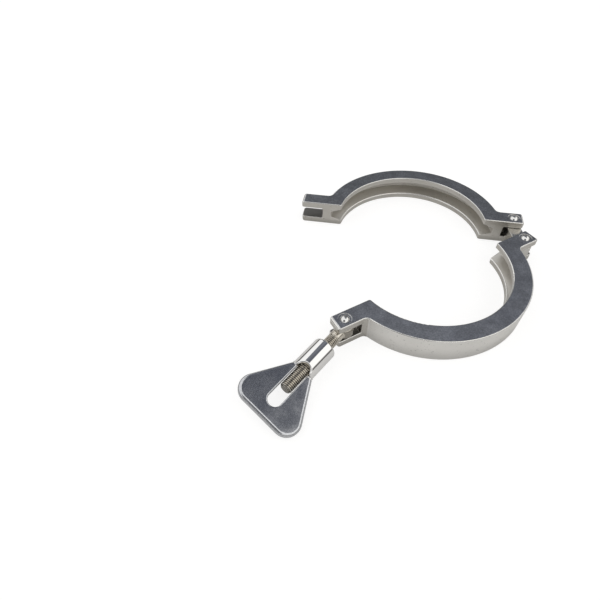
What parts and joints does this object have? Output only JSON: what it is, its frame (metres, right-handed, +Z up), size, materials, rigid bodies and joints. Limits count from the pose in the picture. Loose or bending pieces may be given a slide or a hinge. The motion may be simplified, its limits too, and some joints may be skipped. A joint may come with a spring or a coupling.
{
  "type": "v-band clamp",
  "caption": "Open V-band pipe clamp: grooved half rings joined by a pinned hinge link, closed by a swing bolt with a triangular wing nut.",
  "frame": {"origin": "centre of the back half's V groove, at mid height", "axes": "+X along the back half's parting line towards its hinge ear, +Y into the back half, +Z up out of the clamp's flat side"},
  "size_m": [0.1816, 0.2489, 0.0207],
  "materials": {
    "casting": "polished flats, satin cast sides",
    "link": "satin",
    "pin": "polished",
    "bolt": "machined thread",
    "wing": "polished"
  },
  "bodies": {
    "back_half": {"back_half": "casting", "hinge_pin_back": "pin"},
    "link": {"hinge_link": "link"},
    "front_half": {"front_half": "casting", "hinge_pin_front": "pin", "bolt_pin": "pin"},
    "swing_bolt": {"swing_bolt": "bolt"},
    "wing_nut": {"wing_nut": "wing"}
  },
  "joints": [
    {"name": "link_hinge", "type": "hinge", "parent": "back_half", "child": "link", "pos_m": [0.077, 0.0144, 0], "axis": [0, 0, 1], "range_deg": [-12.8, 77.2]},
    {"name": "front_hinge", "type": "hinge", "parent": "link", "child": "front_half", "pos_m": [0.0821, -0.00803, 0], "axis": [0, 0, 1], "range_deg": [-30.1, 63.7]},
    {"name": "bolt_swing", "type": "hinge", "parent": "front_half", "child": "swing_bolt", "pos_m": [-0.03788, -0.10553, 0], "axis": [0, 0, 1], "range_deg": [-107.85, 88.35]},
    {"name": "nut_travel", "type": "slide", "parent": "swing_bolt", "child": "wing_nut", "axis": [-0.4886, -0.8725, 0], "range_m": [0, 0.034]}
  ]
}
